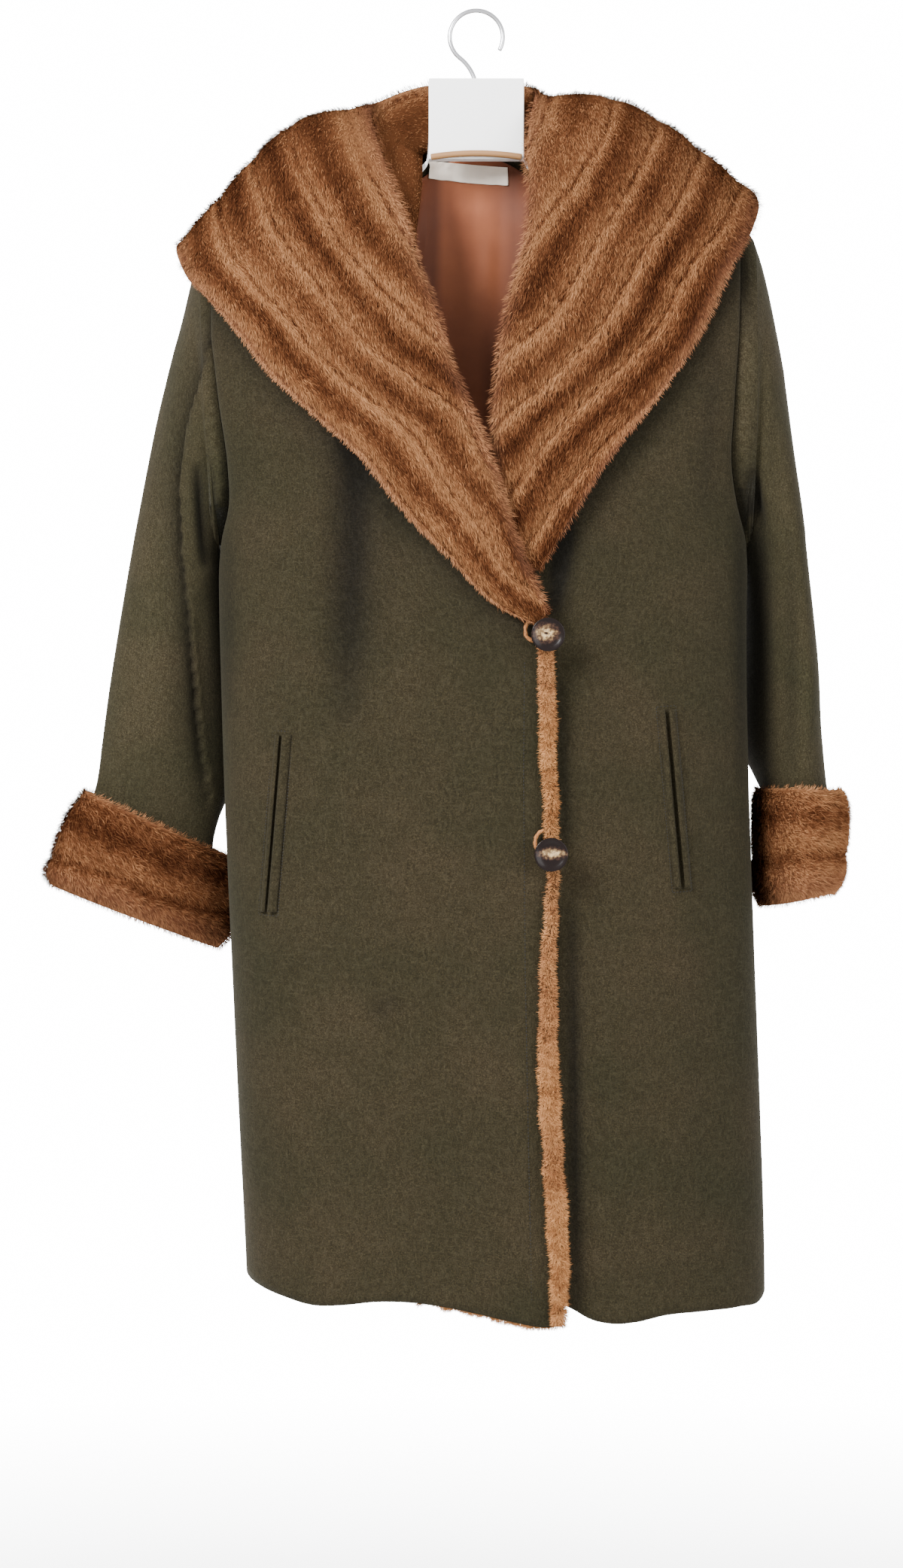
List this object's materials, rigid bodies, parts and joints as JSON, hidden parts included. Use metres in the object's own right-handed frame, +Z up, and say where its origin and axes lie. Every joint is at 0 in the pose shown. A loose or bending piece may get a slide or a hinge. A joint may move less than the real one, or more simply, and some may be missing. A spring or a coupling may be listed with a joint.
{
  "type": "coat with a fur collar on a hanger",
  "caption": "Long felted wool coat with a wide fur shawl collar and fur cuffs, closed at the front and hung on a plain white hanger.",
  "frame": {"origin": "inside of the hook's crown, where the hanger rests on a rail", "axes": "+Z up; the fronts face -Y; +X is to the right of a viewer in front, the wearer's left"},
  "size_m": [0.7357, 0.2296, 1.1742],
  "materials": {
    "front_right": "felted wool",
    "front_left": "felted wool",
    "back": "felted wool",
    "sleeve_right": "felted wool",
    "sleeve_left": "felted wool",
    "collar": "dense short fur",
    "cuff_right": "dense short fur",
    "cuff_left": "dense short fur",
    "front_edge_trim": "dense short fur",
    "pocket_right_jet_outer": "felted wool",
    "pocket_right_jet_inner": "felted wool",
    "pocket_left_jet_outer": "felted wool",
    "pocket_left_jet_inner": "felted wool",
    "lining_back": "satin",
    "neck_label": "woven satin",
    "button_upper": "polished horn look",
    "button_lower": "polished horn look",
    "button_loop_upper": "fur cord",
    "button_loop_lower": "fur cord",
    "hanger_body": "satin white",
    "hanger_lip": "satin",
    "hanger_hook": "bright"
  },
  "bodies": {
    "root": {"front_right": "front_right", "front_left": "front_left", "back": "back", "sleeve_right": "sleeve_right", "sleeve_left": "sleeve_left", "collar": "collar", "cuff_right": "cuff_right", "cuff_left": "cuff_left", "front_edge_trim": "front_edge_trim", "pocket_right_jet_outer": "pocket_right_jet_outer", "pocket_right_jet_inner": "pocket_right_jet_inner", "pocket_left_jet_outer": "pocket_left_jet_outer", "pocket_left_jet_inner": "pocket_left_jet_inner", "lining_back": "lining_back", "neck_label": "neck_label", "button_upper": "button_upper", "button_lower": "button_lower", "button_loop_upper": "button_loop_upper", "button_loop_lower": "button_loop_lower", "hanger_body": "hanger_body", "hanger_lip": "hanger_lip", "hanger_hook": "hanger_hook"}
  },
  "joints": []
}
